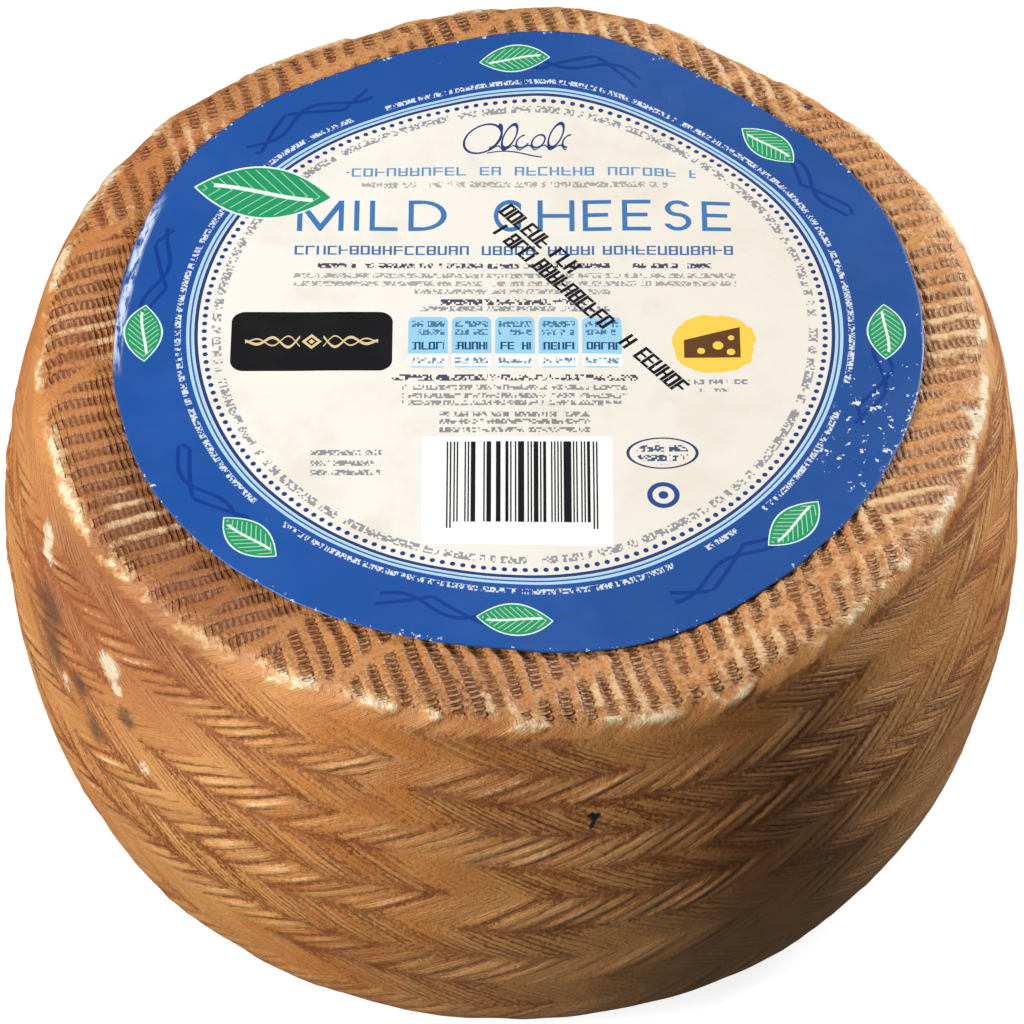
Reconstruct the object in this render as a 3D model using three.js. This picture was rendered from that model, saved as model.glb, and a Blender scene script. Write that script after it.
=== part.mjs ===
// A pressed cheese wheel with a round printed paper label on its upper face.
// Millimetres, +Z up. The origin is the middle of the flat base that the wheel rests on.
import * as THREE from 'three';
import { mergeVertices } from 'three/addons/utils/BufferGeometryUtils.js';

// ---- driving dimensions: the wheel ----------------------------------------------------------
const WHEEL_HEIGHT = 99.5;       // base to the level of the upper face
const WHEEL_RADIUS = 99;         // at the widest level of its barrel-shaped side
const WIDEST_LEVEL = 49;         // height of that level above the base
const BARREL_CURVE = 143;        // radius of the side's bulge, seen in section
const TOP_SHOULDER = 8;          // radius of the rounding between the side and the upper face
const BASE_SHOULDER = 14;        // radius of the rounding between the side and the base

// ---- driving dimensions: the label ----------------------------------------------------------
const LABEL_THICKNESS = 0.5;     // paper with its film and glue
const LABEL_GAP = 0.3;           // clearance between the label and the rind under it
const LABEL_MARGIN = 6.9;        // bare rind between the label's edge and the shoulder
const LABEL_SHIFT_X = 0.4;       // the label was laid slightly off the wheel's middle
const LABEL_SHIFT_Y = 2.5;
const CURL_HEIGHT = 2.0;         // how far the label's loose edge has come up
const CURL_REACH = 9;            // width of the loose strip, in from the edge
const CURL_ANGLE = 172;          // degrees, where along the edge the paper is loose
const CURL_SPREAD = 15;          // degrees to each side over which it settles down again

// ---- driving dimensions: the uneven upper face ----------------------------------------------
// Where the mould's cloth was folded, the face was pressed lower or swelled up near its rim.
// Each: [degrees round the wheel, height at the rim (minus is a dip), spread in degrees].
const SWELLS = [
  [52, -3.4, 13],
  [80, 1.8, 9],
  [113, -2.4, 13],
  [210, -1.8, 20],
  [257, 1.2, 13],
  [290, -3.0, 12],
];
const SWELL_REACH = 42;          // how far in from the shoulder a swell runs out to nothing
const SWELL_RIM = 4;             // band inside the shoulder where a swell has its whole height
const SWELL_DEPTH = 48;          // how far down the side a swell runs out to nothing

// ---- how finely the solids are faceted ------------------------------------------------------
const SECTORS = 72;
const SHOULDER_STEPS = 4;
const BARREL_STEPS = 8;
const RING_PITCH = 8.2;          // widest spacing of the rings across the upper face and the label
const MERGE_TOLERANCE = 1e-3;    // points closer than this are one point

// ---- finishes -------------------------------------------------------------------------------
const RIND_COLOUR = 0xb9783f;
const RIND_ROUGHNESS = 0.62;
const LABEL_COLOUR = 0x2a5aaa;
const LABEL_ROUGHNESS = 0.35;

// ---- small helpers --------------------------------------------------------------------------
const { euclideanModulo, lerp, radToDeg, smoothstep } = THREE.MathUtils;

// Shortest turn between two directions, in degrees from 0 to 180.
function turnBetween(a, b) {
  const turn = Math.abs(euclideanModulo(a - b, 360));
  return Math.min(turn, 360 - turn);
}

function bell(distance, spread) {
  return Math.exp(-0.5 * (distance / spread) ** 2);
}

// ---- the section of the wheel ---------------------------------------------------------------
// The side is one arc, and each shoulder is an arc that is tangent to it and to a flat face.
const barrelMiddle = new THREE.Vector2(WHEEL_RADIUS - BARREL_CURVE, WIDEST_LEVEL);

function shoulderMiddle(radius, level) {
  const rise = level - WIDEST_LEVEL;
  const reach = Math.sqrt((BARREL_CURVE - radius) ** 2 - rise ** 2);
  return new THREE.Vector2(barrelMiddle.x + reach, level);
}

const topShoulder = shoulderMiddle(TOP_SHOULDER, WHEEL_HEIGHT - TOP_SHOULDER);
const baseShoulder = shoulderMiddle(BASE_SHOULDER, BASE_SHOULDER);
const topTangent = topShoulder.clone().sub(barrelMiddle).angle();
const baseTangent = baseShoulder.clone().sub(barrelMiddle).angle() - 2 * Math.PI;  // below level

// Points on an arc, from one angle to another, without its first point.
function arcPoints(middle, radius, from, to, steps) {
  const points = [];
  for (let i = 1; i <= steps; i += 1) {
    const angle = lerp(from, to, i / steps);
    points.push(new THREE.Vector2(
      middle.x + radius * Math.cos(angle),
      middle.y + radius * Math.sin(angle),
    ));
  }
  return points;
}

// Radii of evenly spaced rings across a disc, from the inmost out to its edge.
function ringRadii(edge) {
  const count = Math.ceil(edge / RING_PITCH);
  return Array.from({ length: count }, (_, i) => (edge * (i + 1)) / count);
}

// From the middle of the base, out and up the side, and back in to the middle of the top.
function wheelSection() {
  const innerRings = ringRadii(topShoulder.x).slice(0, -1);
  return [
    new THREE.Vector2(0, 0),
    new THREE.Vector2(baseShoulder.x, 0),
    ...arcPoints(baseShoulder, BASE_SHOULDER, -Math.PI / 2, baseTangent, SHOULDER_STEPS),
    ...arcPoints(barrelMiddle, BARREL_CURVE, baseTangent, topTangent, BARREL_STEPS),
    ...arcPoints(topShoulder, TOP_SHOULDER, topTangent, Math.PI / 2, SHOULDER_STEPS),
    ...innerRings.toReversed().map((radius) => new THREE.Vector2(radius, WHEEL_HEIGHT)),
    new THREE.Vector2(0, WHEEL_HEIGHT),
  ];
}

// ---- the uneven upper face ------------------------------------------------------------------
// How far the rim's swells and dips move a point that stands over (x, y).
function swellAt(x, y) {
  const angle = radToDeg(Math.atan2(y, x));
  const full = topShoulder.x - SWELL_RIM;
  const share = smoothstep(Math.hypot(x, y), topShoulder.x - SWELL_REACH, full);
  const heights = SWELLS.map(([at, height, spread]) => height * bell(turnBetween(angle, at), spread));
  return share * heights.reduce((sum, height) => sum + height, 0);
}

// Height of the rind's upper face over (x, y), down the shoulder where the point is beyond it.
function faceLevel(x, y) {
  const beyond = Math.max(0, Math.hypot(x, y) - topShoulder.x);
  const drop = TOP_SHOULDER - Math.sqrt(Math.max(0, TOP_SHOULDER ** 2 - beyond ** 2));
  return WHEEL_HEIGHT - drop + swellAt(x, y);
}

// ---- the loose edge of the label ------------------------------------------------------------
function curlAt(radius, angle, edge) {
  const nearEdge = smoothstep(radius, edge - CURL_REACH, edge);
  return CURL_HEIGHT * nearEdge * bell(turnBetween(angle, CURL_ANGLE), CURL_SPREAD);
}

// ---- the parts ------------------------------------------------------------------------------
// A lathe-turned solid about +Z, each of whose points is then moved by shape(x, y, z).
function turned(section, shape) {
  const geometry = new THREE.LatheGeometry(section, SECTORS);
  geometry.rotateX(Math.PI / 2);
  geometry.deleteAttribute('normal');
  geometry.deleteAttribute('uv');
  const solid = mergeVertices(geometry, MERGE_TOLERANCE);
  const position = solid.getAttribute('position');
  for (let i = 0; i < position.count; i += 1) {
    const moved = shape(position.getX(i), position.getY(i), position.getZ(i));
    position.setXYZ(i, ...moved);
  }
  solid.computeVertexNormals();
  return solid;
}

function part(name, geometry, color, roughness) {
  const material = new THREE.MeshStandardMaterial({ color, roughness, metalness: 0 });
  const mesh = new THREE.Mesh(geometry, material);
  mesh.name = name;
  return mesh;
}

function cheeseWheel() {
  const shoulderFoot = WHEEL_HEIGHT - TOP_SHOULDER;
  const geometry = turned(wheelSection(), (x, y, z) => {
    const share = smoothstep(z, shoulderFoot - SWELL_DEPTH, shoulderFoot);
    return [x, y, z + share * swellAt(x, y)];
  });
  return part('cheese_wheel', geometry, RIND_COLOUR, RIND_ROUGHNESS);
}

function paperLabel() {
  const edge = topShoulder.x - LABEL_MARGIN;
  const radii = ringRadii(edge);
  const under = [0, ...radii].map((radius) => new THREE.Vector2(radius, 0));
  const over = [...radii.toReversed(), 0].map((radius) => new THREE.Vector2(radius, LABEL_THICKNESS));
  const geometry = turned([...under, ...over], (x, y, z) => {
    const angle = radToDeg(Math.atan2(y, x));
    const curl = curlAt(Math.hypot(x, y), angle, edge);
    const overX = x + LABEL_SHIFT_X;
    const overY = y + LABEL_SHIFT_Y;
    return [overX, overY, faceLevel(overX, overY) + LABEL_GAP + curl + z];
  });
  return part('paper_label', geometry, LABEL_COLOUR, LABEL_ROUGHNESS);
}

const cheese = new THREE.Group();
cheese.add(cheeseWheel(), paperLabel());

export default cheese;
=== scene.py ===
# %% [markdown]
# # A pressed cheese wheel with a round paper label
#
# The wheel was pressed in a mould lined with a plaited straw band, so its side carries a
# herringbone of straw prints and its two flat faces carry the ribs of the boards that closed
# the mould. A round label, printed in blue and cream, is stuck on the upper face.
#
# The lesson builds two pieces: the cheese, one body of revolution that is then pressed and
# worn by formula, and the label, one thin sheet that follows the cheese under it.

# %% Load the frame that every piece is built around
import math

import bpy
import numpy as np
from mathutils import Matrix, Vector, noise


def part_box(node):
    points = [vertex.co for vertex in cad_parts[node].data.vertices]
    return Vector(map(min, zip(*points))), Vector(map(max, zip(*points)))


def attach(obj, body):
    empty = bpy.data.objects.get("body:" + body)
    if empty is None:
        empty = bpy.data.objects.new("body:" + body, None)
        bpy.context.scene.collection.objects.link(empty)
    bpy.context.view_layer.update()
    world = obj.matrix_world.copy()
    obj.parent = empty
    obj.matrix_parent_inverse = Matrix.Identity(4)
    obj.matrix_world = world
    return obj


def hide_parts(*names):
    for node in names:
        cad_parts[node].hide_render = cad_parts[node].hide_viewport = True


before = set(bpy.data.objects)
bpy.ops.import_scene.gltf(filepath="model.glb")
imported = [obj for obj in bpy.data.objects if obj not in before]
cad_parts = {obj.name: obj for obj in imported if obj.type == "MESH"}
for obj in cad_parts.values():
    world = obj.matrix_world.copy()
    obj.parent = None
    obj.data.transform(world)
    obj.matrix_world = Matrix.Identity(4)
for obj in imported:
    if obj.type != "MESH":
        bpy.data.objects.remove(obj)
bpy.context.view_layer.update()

wheel_low, wheel_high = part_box("cheese_wheel")
label_low, label_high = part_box("paper_label")

# %% [markdown]
# ## The sizes of the wheel
#
# A wheel like this is easiest to think of as a section turned about an axis. The section has a
# flat base, a rounded foot, one long arc for the barrel side, a tighter shoulder and a flat
# top. All lengths below are in millimetres, and the meshes are scaled to metres at the end.

# %% Driving sizes
MM = 0.001
WHEEL_RADIUS = (wheel_high.x - wheel_low.x) / 2 / MM
FACE_LEVEL = 99.5        # height of the upper face
WIDEST_LEVEL = 49        # height of the widest part of the side
BARREL_CURVE = 143       # radius of the side's bulge, seen in section
TOP_SHOULDER = 8         # rounding at the top
BASE_SHOULDER = 14       # rounding at the foot


def shoulder_middle(radius, level):
    """The centre, in the section, of a rounding that is tangent to the barrel arc."""
    rise = level - WIDEST_LEVEL
    reach = math.sqrt((BARREL_CURVE - radius) ** 2 - rise ** 2)
    return WHEEL_RADIUS - BARREL_CURVE + reach, level


top_middle = shoulder_middle(TOP_SHOULDER, FACE_LEVEL - TOP_SHOULDER)
base_middle = shoulder_middle(BASE_SHOULDER, BASE_SHOULDER)
barrel_middle = (WHEEL_RADIUS - BARREL_CURVE, WIDEST_LEVEL)
top_turn = math.atan2(top_middle[1] - barrel_middle[1], top_middle[0] - barrel_middle[0])
base_turn = math.atan2(base_middle[1] - barrel_middle[1], base_middle[0] - barrel_middle[0])
print("flat top radius, mm:", round(top_middle[0], 1), " flat base radius:", round(base_middle[0], 1))

# %% [markdown]
# ## Walking along the section
#
# The plaited band has to be laid along the surface, not along the height, so the section is
# described by the distance walked along it, starting at the middle of the top. `section_at`
# gives the radius, the height and the outward direction at any such distance.

# %% The section as a function of the distance along it
top_end = top_middle[0]
shoulder_end = top_end + TOP_SHOULDER * (math.pi / 2 - top_turn)
barrel_end = shoulder_end + BARREL_CURVE * (top_turn - base_turn)
foot_end = barrel_end + BASE_SHOULDER * (base_turn + math.pi / 2)
base_end = foot_end + base_middle[0]


def section_at(walk):
    """Radius, height and outward normal (radial, upward) at a distance from the top's middle."""
    if walk <= top_end:
        return walk, FACE_LEVEL, 0.0, 1.0
    if walk <= shoulder_end:
        centre, radius, turn = top_middle, TOP_SHOULDER, math.pi / 2 - (walk - top_end) / TOP_SHOULDER
    elif walk <= barrel_end:
        centre, radius, turn = barrel_middle, BARREL_CURVE, top_turn - (walk - shoulder_end) / BARREL_CURVE
    elif walk <= foot_end:
        centre, radius, turn = base_middle, BASE_SHOULDER, base_turn - (walk - barrel_end) / BASE_SHOULDER
    else:
        return base_end - walk, 0.0, 0.0, -1.0
    return (centre[0] + radius * math.cos(turn), centre[1] + radius * math.sin(turn),
            math.cos(turn), math.sin(turn))


print("walk to shoulder, side, foot, base, mm:",
      [round(v, 1) for v in (top_end, shoulder_end, barrel_end, foot_end)])

# %% [markdown]
# ## The uneven upper face
#
# Folds in the cheesecloth left the rim low in some places and high in others. The same swells
# are in the CAD model, so the label and the cheese keep to one formula.

# %% Swells and dips round the rim
SWELLS = [               # degrees round the wheel, height at the rim in mm, spread in degrees
    (52, -3.4, 13),
    (80, 1.8, 9),
    (113, -2.4, 13),
    (210, -1.8, 20),
    (257, 1.2, 13),
    (290, -3.0, 12),
]
SWELL_REACH = 42         # the swells start this far inside the flat top's edge
SWELL_RIM = 4            # and are complete this far inside it
SWELL_DEPTH = 48         # down the side they fade out over this height


def smoothstep(value, low, high):
    share = np.clip((value - low) / (high - low), 0, 1)
    return share * share * (3 - 2 * share)


def bell(distance, spread):
    return np.exp(-0.5 * (distance / spread) ** 2)


def turn_between(degrees, other):
    """Shortest turn between two directions, from 0 to 180 degrees."""
    turn = np.abs(np.mod(degrees - other, 360))
    return np.minimum(turn, 360 - turn)


def swell_at(x, y):
    """How far the swells move the upper face over (x, y), in mm."""
    degrees = np.degrees(np.arctan2(y, x))
    share = smoothstep(np.hypot(x, y), top_end - SWELL_REACH, top_end - SWELL_RIM)
    return share * sum(height * bell(turn_between(degrees, at), spread) for at, height, spread in SWELLS)


print("swells and dips:", len(SWELLS))

# %% [markdown]
# ## Turning the section
#
# The rows of the mesh are placed where the print needs them: four to each straw of the
# herringbone, and close together on the top, where ribs cross them at every angle. One vertex
# is extruded down the section row by row, and the line is spun round the axis. The number of
# columns is four to each fine groove, so that every groove has its own columns to lie on.

# %% The rows: where the bands of the herringbone start
GROOVES = 252            # fine straw grooves counted once round the wheel
COLUMNS = 4 * GROOVES
BANDS = 11
BAND_FIRST = 6.6         # height of the top band, along the surface
BAND_GROWTH = 0.236      # the bands get taller towards the foot


def band_start(band):
    return shoulder_end + BAND_FIRST * band + BAND_GROWTH * band * band


UNDER_LABEL = 72         # inside this radius the label hides the top
RIDGE_WALK = 90          # where the rim's worn ridge runs
FLAT_ROWS = 13
RIDGE_ROWS = 6
FRINGE_ROWS = 4
BAND_ROWS = 4

walks = list(np.linspace(UNDER_LABEL, top_end, FLAT_ROWS + 1)[:-1])
walks += list(np.linspace(top_end, RIDGE_WALK, RIDGE_ROWS + 1)[:-1])
walks += list(np.linspace(RIDGE_WALK, shoulder_end, FRINGE_ROWS + 1)[:-1])
for band in range(BANDS):
    low, high = band_start(band), min(band_start(band + 1), foot_end)
    walks += list(np.linspace(low, high, BAND_ROWS + 1)[:-1])
walks.append(foot_end)
rows = [section_at(walk) for walk in walks]
print(len(walks), "rows,", COLUMNS, "columns")


# %% Spin the section into the wheel
def deselect_all():
    bpy.ops.object.select_all(action="DESELECT")


def extrude_by(step):
    bpy.ops.mesh.extrude_region_move(TRANSFORM_OT_translate={"value": step})


def turned(name, line, steps):
    """A surface of revolution: a vertex extruded along (radius, height) points, then turned about Z."""
    deselect_all()
    bpy.ops.mesh.primitive_plane_add(size=MM, location=(0, 0, 0))
    piece = bpy.context.active_object
    piece.name = name
    piece.data.name = name
    bpy.ops.object.mode_set(mode="EDIT")
    bpy.ops.mesh.select_mode(type="VERT")
    bpy.ops.mesh.select_all(action="SELECT")
    bpy.ops.mesh.merge(type="CENTER")
    bpy.ops.transform.translate(value=(line[0][0] * MM, 0, line[0][1] * MM))
    for here, there in zip(line, line[1:]):
        extrude_by(((there[0] - here[0]) * MM, 0, (there[1] - here[1]) * MM))
    bpy.ops.object.mode_set(mode="OBJECT")
    screw = piece.modifiers.new("turn", "SCREW")
    screw.axis = "Z"
    screw.angle = 2 * math.pi
    screw.steps = steps
    screw.render_steps = steps
    screw.use_merge_vertices = True
    screw.merge_threshold = 0.001 * MM
    bpy.ops.object.modifier_apply(modifier=screw.name)
    return piece


wheel = turned("cheese", [row[:2] for row in rows], COLUMNS)
print("spun:", len(wheel.data.vertices), "vertices")

# %% [markdown]
# ## Closing the two flat faces
#
# Under the label the top only needs a few rings, closed at the middle. The underside is seen
# when the wheel is turned over, so it gets a finer disc of its own, which is joined to the
# wheel and bridged to the foot. A bridge joins two rings with different numbers of points.

# %% Close the top under the label
INNER_RINGS = (0.75, 0.55, 0.3)


def vertex_places(piece):
    places = np.empty(len(piece.data.vertices) * 3)
    piece.data.vertices.foreach_get("co", places)
    return places.reshape(-1, 3)


def select_rings(piece, rings, slack=0.2):
    """Selects the vertices on rings, each a radius and a height, and opens the piece in edit mode."""
    deselect_all()
    bpy.context.view_layer.objects.active = piece
    piece.select_set(True)
    bpy.ops.object.mode_set(mode="EDIT")
    bpy.ops.mesh.select_mode(type="VERT")
    bpy.ops.mesh.select_all(action="DESELECT")
    bpy.ops.object.mode_set(mode="OBJECT")
    places = vertex_places(piece) / MM
    out = np.hypot(places[:, 0], places[:, 1])
    away = [np.hypot(out - radius, places[:, 2] - level) for radius, level in rings]
    piece.data.vertices.foreach_set("select", np.min(away, axis=0) < slack)
    bpy.ops.object.mode_set(mode="EDIT")


select_rings(wheel, [rows[0][:2]])
for share in INNER_RINGS:
    bpy.ops.mesh.extrude_region_move()
    bpy.ops.transform.resize(value=(share, share, 1), center_override=(0, 0, 0))
bpy.ops.mesh.merge(type="CENTER")
bpy.ops.object.mode_set(mode="OBJECT")
print("rings under the label:", len(INNER_RINGS))

# %% Close the underside with a finer disc, bridged to the foot
DISC_COLUMNS = 400
DISC_PITCH = 1.25
disc_radius = rows[-1][0] - 1.2
disc_line = [(radius, 0) for radius in np.arange(disc_radius, DISC_PITCH, -DISC_PITCH)]
disc = turned("underside", disc_line, DISC_COLUMNS)
select_rings(disc, disc_line[-1:])
bpy.ops.mesh.merge(type="CENTER")
bpy.ops.object.mode_set(mode="OBJECT")
deselect_all()
disc.select_set(True)
wheel.select_set(True)
bpy.context.view_layer.objects.active = wheel
bpy.ops.object.join()
select_rings(wheel, [rows[-1][:2], disc_line[0]])
bpy.ops.mesh.select_mode(type="EDGE")
bpy.ops.mesh.bridge_edge_loops()
bpy.ops.mesh.select_all(action="SELECT")
bpy.ops.mesh.normals_make_consistent(inside=False)
bpy.ops.object.mode_set(mode="OBJECT")
print("closed:", len(wheel.data.vertices), "vertices,", len(wheel.data.polygons), "faces")

# %% [markdown]
# ## How the plait was laid
#
# On the real wheel every straw left a groove about a millimetre wide. The grooves lean one way
# in one band and the other way in the next, which makes the herringbone. Here the columns of
# the mesh themselves are pushed sideways band by band, so that each groove runs along its own
# columns. A groove cut across the columns would look like a row of steps instead.

# %% Measure where each vertex lies on the section
walk_steps = np.linspace(0, base_end, 4001)
section_table = np.array([section_at(walk) for walk in walk_steps])


def section_line(walk):
    """Radius, height and outward direction for many distances along the section at once."""
    return [np.interp(walk, walk_steps, section_table[:, part]) for part in range(4)]


def round_walk(middle, radius, start, turn, r, z):
    return start + radius * (turn - np.arctan2(z - middle[1], r - middle[0]))


def walk_of(r, z):
    """The distance along the section of points that lie on it."""
    top = round_walk(top_middle, TOP_SHOULDER, top_end, math.pi / 2, r, z)
    side = round_walk(barrel_middle, BARREL_CURVE, shoulder_end, top_turn, r, z)
    foot = round_walk(base_middle, BASE_SHOULDER, barrel_end, base_turn, r, z)
    walk = np.where(z > section_at(shoulder_end)[1], top, np.where(z > section_at(barrel_end)[1], side, foot))
    walk = np.where((r < top_end) & (z > FACE_LEVEL - 1), r, walk)
    return np.where((r < base_middle[0]) & (z < 1), base_end - r, walk)


laid = vertex_places(wheel) / MM
laid_walk = walk_of(np.hypot(laid[:, 0], laid[:, 1]), laid[:, 2])
laid_turn = np.mod(np.degrees(np.arctan2(laid[:, 1], laid[:, 0])) + 1e-6, 360)
print("walks from", round(laid_walk.min(), 1), "to", round(laid_walk.max(), 1), "mm")

# %% Lean the columns into a herringbone
STRAW_RUN = 5.75         # grooves a straw runs round the wheel while it crosses its band
FRINGE_RUN = 2.2         # the short fringe above the first band
LAY_WANDER = 1.5         # how far hand-laid straw strays, mm
LAY_SEED = 11


def rough(points, lump, seed):
    """Smooth noise from about -1 to 1, with lumps of the given width in mm."""
    shift = Vector((seed * 7.3, seed * 3.1, seed * 5.7))
    return np.array([noise.noise(Vector(point) / lump + shift) for point in points]) * 1.6


def band_at(walk):
    """Which band a distance falls in, with the share of the band crossed as the fraction."""
    down = np.clip(walk - shoulder_end, 0, foot_end - shoulder_end)
    return (np.sqrt(BAND_FIRST ** 2 + 4 * BAND_GROWTH * down) - BAND_FIRST) / (2 * BAND_GROWTH)


def lean_at(walk):
    """How many grooves the straws have run round the wheel at this distance."""
    zigzag = 1 - np.abs(np.mod(band_at(walk), 2) - 1)
    fringe = np.clip((shoulder_end - walk) / (shoulder_end - RIDGE_WALK), 0, 1)
    return STRAW_RUN * zigzag + FRINGE_RUN * fringe * smoothstep(walk, top_end, RIDGE_WALK)


on_side = smoothstep(laid_walk, shoulder_end, shoulder_end + 9)
on_side *= 1 - smoothstep(laid_walk, foot_end - 12, foot_end - 2)
walk = laid_walk + on_side * LAY_WANDER * rough(laid, 34, LAY_SEED)
turn = np.radians(laid_turn) + 2 * math.pi / GROOVES * lean_at(laid_walk)
turn += on_side * LAY_WANDER * rough(laid, 26, LAY_SEED + 1) / WHEEL_RADIUS
radius, height, out_r, out_z = section_line(walk)
flat_under = laid_walk > foot_end + 0.5
radius = np.where(flat_under, np.hypot(laid[:, 0], laid[:, 1]), radius)
straw_turn = STRAW_RUN * 2 * math.pi * WHEEL_RADIUS / GROOVES
print("straws lean", round(math.degrees(math.atan2(BAND_FIRST + 2, straw_turn))), "degrees")

# %% [markdown]
# ## How deep the straws pressed
#
# Each straw is a rounded crest that is highest halfway along. No two pressed equally hard, so
# each gets its own strength, from a table of seeded random numbers. Larger lumps come from the
# cloth and the hands that turned the wheel. Everything is pressed inwards, so the crests stay
# at the wheel's own size.

# %% The relief of the side
COARSE = 2               # straws in the rising bands are this many grooves wide
RISING_DEPTH = 0.4       # how deep those broad straws print, mm
FALLING_DEPTH = 0.17     # and the fine straws of the other bands
BUNDLE = 4               # straws lie in bundles this many grooves wide
BUNDLE_DEPTH = 0.17
LUMP_DEPTH = 0.34        # lumps as wide as a finger
FINE_LUMP_DEPTH = 0.13   # and lumps as wide as a pea
RUBBED_AT = -52          # where the side is rubbed smooth, degrees round the wheel

straw_luck = np.random.default_rng(42).random((GROOVES, BANDS + 2))
slide_luck = np.random.default_rng(43).random((GROOVES, BANDS + 2)) - 0.5
groove = laid_turn / 360 * GROOVES
band = np.minimum(np.floor(band_at(laid_walk) + 1e-4).astype(int), BANDS)
rising = band % 2 == 1                       # bands whose straws rise to the right
straw_place = np.where(rising, groove / COARSE, groove)
straw = np.floor(straw_place + 1e-4).astype(int) % GROOVES
across_band = np.clip(band_at(laid_walk) - band, 0, 1)
luck = straw_luck[straw, band]
crest = 0.5 - 0.5 * np.cos(2 * math.pi * straw_place)
slide = 0.28 * slide_luck[straw, band] * (across_band * (1 - across_band) * 4)
lens = np.sin(math.pi * np.clip(across_band + slide, 0, 1))
bundle = 0.5 - 0.5 * np.cos(2 * math.pi * (groove + 2 * rising) / BUNDLE)
pressed = np.clip(0.6 + 1.1 * rough(laid, 17, 3), 0.1, 1) * (1 - 0.55 * smoothstep(laid_walk, 145, 185))
rubbed_side = bell(np.mod(laid_turn - RUBBED_AT + 180, 360) - 180, 34) * smoothstep(laid_walk, 112, 160)
pressed = np.clip(pressed * (1 - 0.4 * rubbed_side), 0.1, 1)
in_band = smoothstep(laid_walk, shoulder_end - 2.5, shoulder_end)
straw_depth = np.where(rising, RISING_DEPTH * lens ** 0.6, FALLING_DEPTH * lens ** 0.35)
straw_height = crest * straw_depth * (0.35 + 0.65 * luck)
bundle_height = BUNDLE_DEPTH * bundle * lens ** 0.7
side_relief = in_band * pressed * (straw_height + bundle_height)
lumps = LUMP_DEPTH * rough(laid, 21, 5) + FINE_LUMP_DEPTH * rough(laid, 6, 6)
print("side relief up to", round(side_relief.max(), 2), "mm")

# %% [markdown]
# ## The ribs of the two flat faces
#
# The boards that closed the mould were covered with ribbed matting in strips. The strips are
# laid two ways, and where two strips meet there is a smooth seam. Between the ribs run rows of
# small beads, too fine for the mesh, which the finish adds later.

# %% The ribs and the seams
RIB_PITCH = 3.9
RIB_WANDER = 0.5
RIB_DEPTH = 0.8
BEAD_PITCH = 1.15
RIBS_ALONG = 16          # direction of most ribs, degrees
RIBS_ACROSS = 107        # direction of the other strips
CROSS_STRIPS = [(48, 160), (240, 328)]
SEAM_RADIUS = 82         # the seams are placed by their middles, this far out
SEAMS = [                # degrees round the wheel, direction of the seam
    (220.9, 32), (229.2, 45), (238.7, 41), (250.9, 39), (80, 34), (70, 36),
    (59.2, 36), (48.4, 28), (18.5, 45), (-10.6, 35), (112.6, 29), (94.8, 35),
    (141, 41), (160, 36), (186, 40), (275, 38), (300, 40), (322, 36),
]
SEAM_LENGTH = 13         # from the middle of a seam to its end


def rib_direction(degrees):
    """The direction of the ribs at a place round the wheel, in radians."""
    crosswise = sum(((degrees > low) & (degrees < high)) for low, high in CROSS_STRIPS) > 0
    return np.radians(np.where(crosswise, RIBS_ACROSS, RIBS_ALONG))


def along_and_across(x, y, direction):
    return x * np.cos(direction) + y * np.sin(direction), y * np.cos(direction) - x * np.sin(direction)


def seam_at(x, y):
    """From 0 away from every seam to 1 on one."""
    strongest = np.zeros_like(x)
    for degrees, direction in SEAMS:
        start = SEAM_RADIUS * np.array([math.cos(math.radians(degrees)), math.sin(math.radians(degrees))])
        along, across = along_and_across(x - start[0], y - start[1], math.radians(direction))
        strongest = np.maximum(strongest, bell(across, 1.0) * (np.abs(along) < SEAM_LENGTH))
    return strongest


flat_x, flat_y = radius * np.cos(turn), radius * np.sin(turn)
flat_degrees = np.mod(np.degrees(turn), 360)
along, across = along_and_across(flat_x, flat_y, rib_direction(flat_degrees))
rib_wander = RIB_WANDER * rough(laid, 12, 8)
rib = (0.5 - 0.5 * np.cos(2 * math.pi * (across + rib_wander) / RIB_PITCH)) ** 1.25
seam = seam_at(flat_x, flat_y) * (laid_walk < RIDGE_WALK + 1)
on_flat = 1 - smoothstep(laid_walk, RIDGE_WALK - 2.2, RIDGE_WALK + 0.2)
on_flat += smoothstep(laid_walk, foot_end - 5, foot_end)
rib_pressed = np.clip(0.8 + 0.6 * rough(laid, 13, 9), 0.3, 1) * (1 - seam)
rib_relief = on_flat * RIB_DEPTH * (rib * rib_pressed + 0.55 * seam)
print("seams:", len(SEAMS), " ribs up to", round(rib_relief.max(), 2), "mm")

# %% [markdown]
# ## The worn ridge, and putting it all together
#
# The rim has a broken, whitish ridge where the two halves of the mould met. Its height breaks up
# along its length. Last, the swells are added: fully on top, and fading out down the side.

# %% Press the relief into the mesh
RIM_RIDGE = 0.75         # height of the ridge, mm
SIDE_PRESS = 0.62        # how far the whole side is pressed in before the relief stands up
FLAT_PRESS = 0.85        # and the same for the flat faces

ridge_line = RIDGE_WALK + 0.9 * rough(laid, 18, 12)
ridge_break = np.clip(0.36 + 1.5 * rough(laid, 8, 13) + 0.8 * rough(laid, 3.2, 14), 0, 1)
ridge = bell(laid_walk - ridge_line, 1.15) * ridge_break
hollow = -(SIDE_PRESS + (FLAT_PRESS - SIDE_PRESS) * smoothstep(on_flat, 0, 0.6))
lift = hollow + side_relief + rib_relief + RIM_RIDGE * ridge + lumps * np.clip(1 - on_flat, 0.35, 1)
lift = np.where(laid_walk < UNDER_LABEL, -0.5, np.minimum(lift, 0))

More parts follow.
